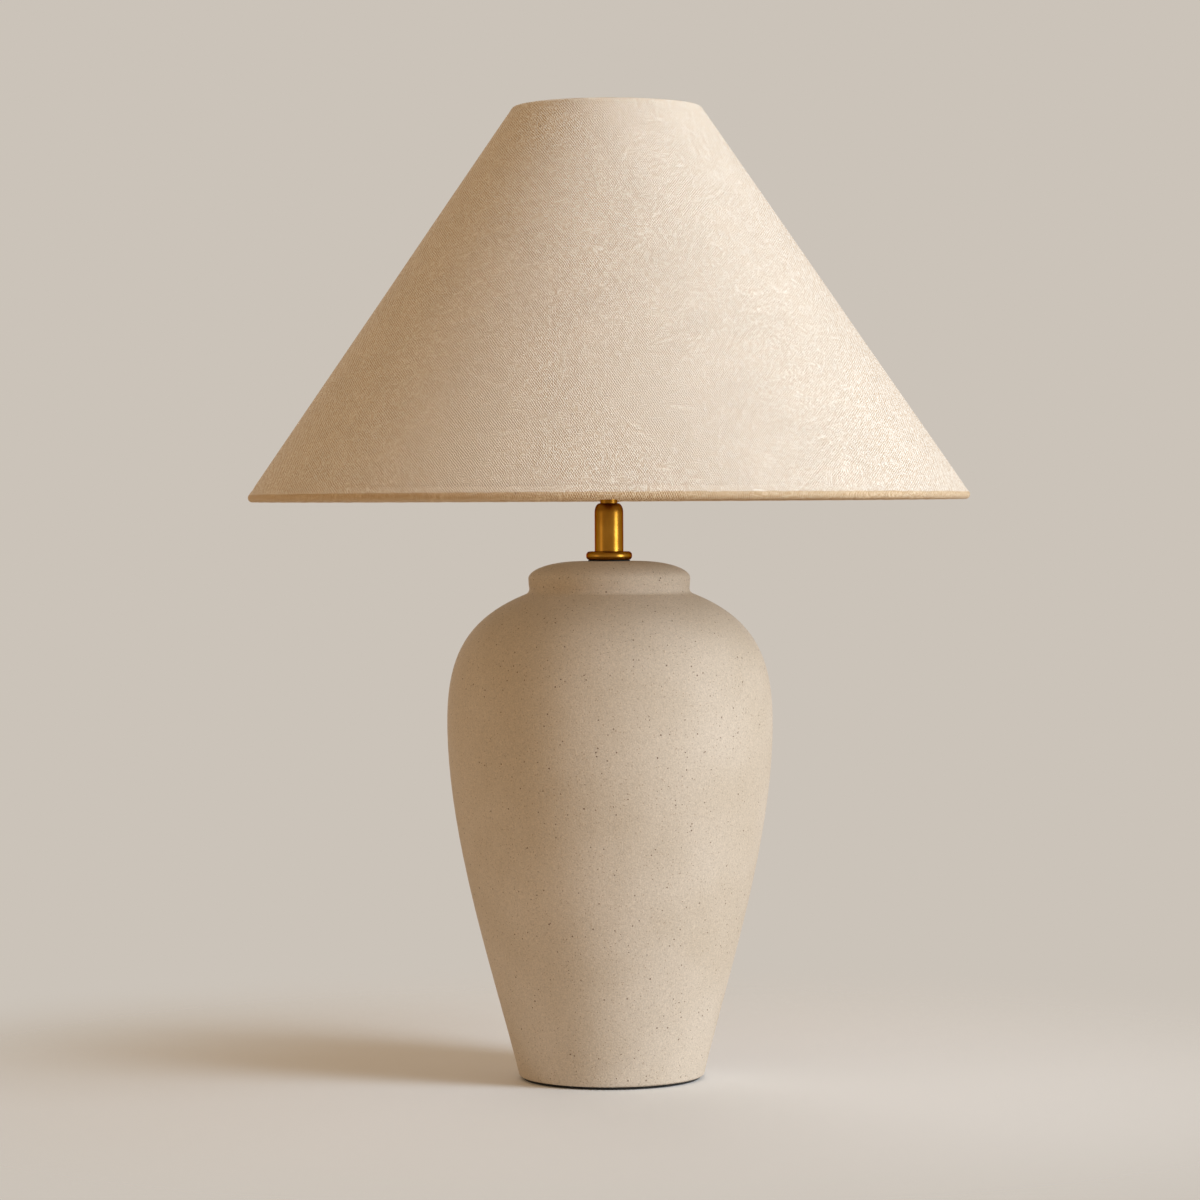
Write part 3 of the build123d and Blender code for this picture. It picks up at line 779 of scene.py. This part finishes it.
def smooth(value, low, high):
    """0 below low, 1 above high, and a smooth step between them."""
    share = np.clip((value - low) / (high - low), 0, 1)
    return share * share * (3 - 2 * share)


def bell(distance, middle, width):
    """1 at the middle, falling off on both sides by the bell curve of that width."""
    return np.exp(-(((distance - middle) / width) ** 2))


def hand_ripple(turn):
    """Small uneven waves from -1 to 1: three sines with whole numbers of waves in a turn."""
    return sum(share * np.sin(waves * turn + start) for share, waves, start in ripple_waves)


def cover_relief(along, turn, radius):
    """How far the outer face stands off the plain cone.

    The lap is a step up and an edge down, a valley is a bell curve beside a hem, the hem's waves
    die out above it, and the slack is a product of sines that is 0 at both rims."""
    across = np.where(turn > math.pi, turn - 2 * math.pi, turn) * radius
    lap = smooth(across, -lap_half_width - lap_ease, -lap_half_width)
    lap = lap * (1 - smooth(across, lap_half_width - lap_edge / 2, lap_half_width + lap_edge / 2))
    ripple = hand_ripple(turn)
    bottom_valley = bell(along, middle=0.0048, width=0.0016)
    top_valley = bell(slope_length - along, middle=0.004, width=0.0014)
    valley = bottom_valley + top_valley_share * top_valley
    rolled = 1 - smooth(along, 0.0, hem_wave_reach)
    swell = np.sin(7 * turn + 9 * along) * np.sin(23 * along + 2)
    slack = swell * np.sin(math.pi * np.clip(along / slope_length, 0, 1))
    relief = lap_height * lap - valley_depth * valley * (1 + valley_unevenness * ripple)
    return relief + hem_wave_height * rolled * ripple + slack_height * slack


print("hem waves", [waves for _, waves, _ in ripple_waves], "in a turn, lap", lap_height * 1000, "mm high")

# %% [markdown]
# ## The cover as a surface
# The outer rows from the bottom hem to the top and the inner rows back again make one closed loop,
# which goes once round the axis. Every point also gets its place in the flat cloth, which is the
# cone unrolled. The map of the last turn goes on past the first one, so that it doesn't run
# backwards across the seam.

# %% Cover surface


def flat_cloth(along, turn):
    """The cone unrolled: a point's distance from the cone's tip, and its angle about it, which is the
    turn from the front times the sine of the cone's half-angle. The front's middle thread is upright."""
    from_tip = rim_from_tip - along
    angle = (turn - math.pi) * half_angle_sine
    return np.stack([from_tip * np.sin(angle), -from_tip * np.cos(angle)], axis=-1)


def cover_grid():
    """Points of the closed cover, ring by ring, and each point's place in the flat cloth."""
    along = cover_rows()
    plain_radius, _ = cover_line(along, 0.0)
    turn = cover_turns(plain_radius)
    outer = cloth_thickness / 2 + cover_relief(along[:, None], turn, plain_radius[:, None])
    inner = np.full_like(outer, -cloth_thickness / 2)
    rows = np.concatenate([along, along[::-1]])[:, None]
    turns = np.concatenate([turn, turn[::-1]])
    radius, height = cover_line(rows, np.concatenate([outer, inner[::-1]]))
    sideways = -radius * np.sin(turns)
    backwards = radius * np.cos(turns)
    upwards = height * np.ones_like(turns)
    points = np.stack([sideways, backwards, upwards], axis=-1)
    return points, flat_cloth(rows, np.concatenate([turns, turns[:, :1] + 2 * math.pi], axis=1))


points, flat = cover_grid()
print("cover grid", points.shape, "flat cloth spans", np.ptp(flat.reshape(-1, 2), axis=0).round(3))

# %% [markdown]
# ## The cover as a mesh
# The grid closes on itself both ways, so the cloth is a sheet with a real thickness and no open
# edge. Its map is written for each corner of a face, because the two sides of the seam share their
# points but not their places in the flat cloth. The volume that the mesh encloses is measured: it
# is positive only if the faces point outwards.

# %% Cover mesh


def closed_grid_faces(rows, columns):
    """Four-cornered faces of a grid that closes on itself both ways, and each corner's row and column."""
    row, column = np.meshgrid(np.arange(rows), np.arange(columns), indexing="ij")
    corner_row = np.stack([row, row, row + 1, row + 1], axis=-1) % rows
    corner_column = np.stack([column, column + 1, column + 1, column], axis=-1)
    faces = corner_row * columns + corner_column % columns
    return faces.reshape(-1, 4), corner_row.reshape(-1), corner_column.reshape(-1)


def add_piece(name, points, faces, slot, body):
    """A smooth mesh piece with the finish of a slot, riding on a body."""
    mesh = bpy.data.meshes.new(name)
    mesh.from_pydata(points.reshape(-1, 3).tolist(), [], faces)
    mesh.shade_smooth()
    mesh.materials.append(finishes[slot])
    piece = bpy.data.objects.new(name, mesh)
    scene.collection.objects.link(piece)
    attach(piece, body)
    return piece


def enclosed_volume(mesh):
    """Volume inside a closed mesh: a sixth of the triple products of its triangles' corners."""
    mesh.calc_loop_triangles()
    corners = np.empty(len(mesh.loop_triangles) * 3, dtype=np.int32)
    mesh.loop_triangles.foreach_get("vertices", corners)
    place = np.empty(len(mesh.vertices) * 3)
    mesh.vertices.foreach_get("co", place)
    first, second, third = place.reshape(-1, 3)[corners].reshape(-1, 3, 3).transpose(1, 0, 2)
    return float(np.einsum("ij,ij->i", first, np.cross(second, third)).sum() / 6)


faces, corner_row, corner_column = closed_grid_faces(*points.shape[:2])
shade_cover = add_piece("shade_cover", points, faces.tolist(), "linen", "shade")
flat_map = shade_cover.data.uv_layers.new(name="flat")
flat_map.uv.foreach_set("vector", flat[corner_row, corner_column].astype(np.float32).ravel())
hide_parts("shade_fabric")
print("cover", len(faces), "faces, cloth volume", round(enclosed_volume(shade_cover.data) * 1e6, 1), "cm3")

# %% [markdown]
# ## The cut of the cloth
# Laid flat, the cover is a broad arc: a sector of the ring between two circles about the cone's
# tip.

# %% [markdown]
# ## The felt pad
# A disc of felt is glued under the foot. Scissors and wear leave its rim a little uneven and
# rounded, so its cross-section is a flat top and bottom joined by half an ellipse, and the
# rim's radius wanders by a few tenths of a millimetre as it goes round.

# %% Felt pad
_, pad_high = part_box("base_pad")
pad_radius = pad_high.x
pad_height = pad_high.z
pad_columns = 240
pad_rim_rings = 11
pad_round_off = pad_height * 0.45
pad_flat_shares = np.array([0.12, 0.4, 0.7, 0.9])
cut_unevenness = 0.004
cut_fade_power = 6


def pad_rings():
    """Radius and height of rings from the underside to the top, along half an ellipse at the rim."""
    lean = np.linspace(-math.pi / 2, math.pi / 2, pad_rim_rings)
    flat_radius = pad_flat_shares * (pad_radius - pad_round_off)
    rim_radius = pad_radius - pad_round_off + pad_round_off * np.cos(lean)
    rim_height = pad_height / 2 * (1 + np.sin(lean))
    radius = np.concatenate([flat_radius, rim_radius, flat_radius[::-1]])
    height = np.concatenate([np.zeros_like(flat_radius), rim_height, np.full_like(flat_radius, pad_height)])
    return radius, height


def pad_points():
    """The rings carried round the axis, less an uneven cut at the rim, and a point at each end."""
    radius, height = pad_rings()
    turn = np.arange(pad_columns) / pad_columns * 2 * math.pi
    trimmed = cut_unevenness * (0.5 + 0.5 * hand_ripple(turn))
    across = radius[:, None] * (1 - trimmed * (radius / pad_radius)[:, None] ** cut_fade_power)
    upwards = height[:, None] * np.ones_like(turn)
    rings = np.stack([across * np.cos(turn), across * np.sin(turn), upwards], axis=-1)
    ends = np.array([[0, 0, 0], [0, 0, pad_height]])
    return np.concatenate([rings.reshape(-1, 3), ends])


def pad_faces(rings):
    """Faces between rings, and a fan of triangles at each end."""
    column = np.arange(pad_columns)
    after = (column + 1) % pad_columns
    start = np.arange(rings - 1)[:, None] * pad_columns
    lower = np.stack([start + column, start + after], axis=-1)
    upper = lower[..., ::-1] + pad_columns
    sides = np.concatenate([lower, upper], axis=-1)
    last = (rings - 1) * pad_columns
    bottom_end = np.full(pad_columns, rings * pad_columns)
    bottom_fan = np.stack([after, column, bottom_end], axis=-1)
    top_fan = np.stack([last + column, last + after, bottom_end + 1], axis=-1)
    return sides.reshape(-1, 4).tolist() + bottom_fan.tolist() + top_fan.tolist()


felt_pad = add_piece("felt_pad", pad_points(), pad_faces(len(pad_rings()[0])), "felt", "base")
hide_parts("base_pad")
print("pad volume", round(enclosed_volume(felt_pad.data) * 1e6, 2), "cm3")

# %% [markdown]
# ## Dress the rigid pieces
# Everything else on the lamp is rigid, and its solid already has the right shape. The record says
# which finish each CAD piece has, so one loop gives them all their materials and leaves their
# meshes alone.

# %% Give every node its finish
for part in frame["record"]["subparts"]:
    frame["nodes"][part["node"]].material_slots[0].material = finishes[part["material_slot"]]
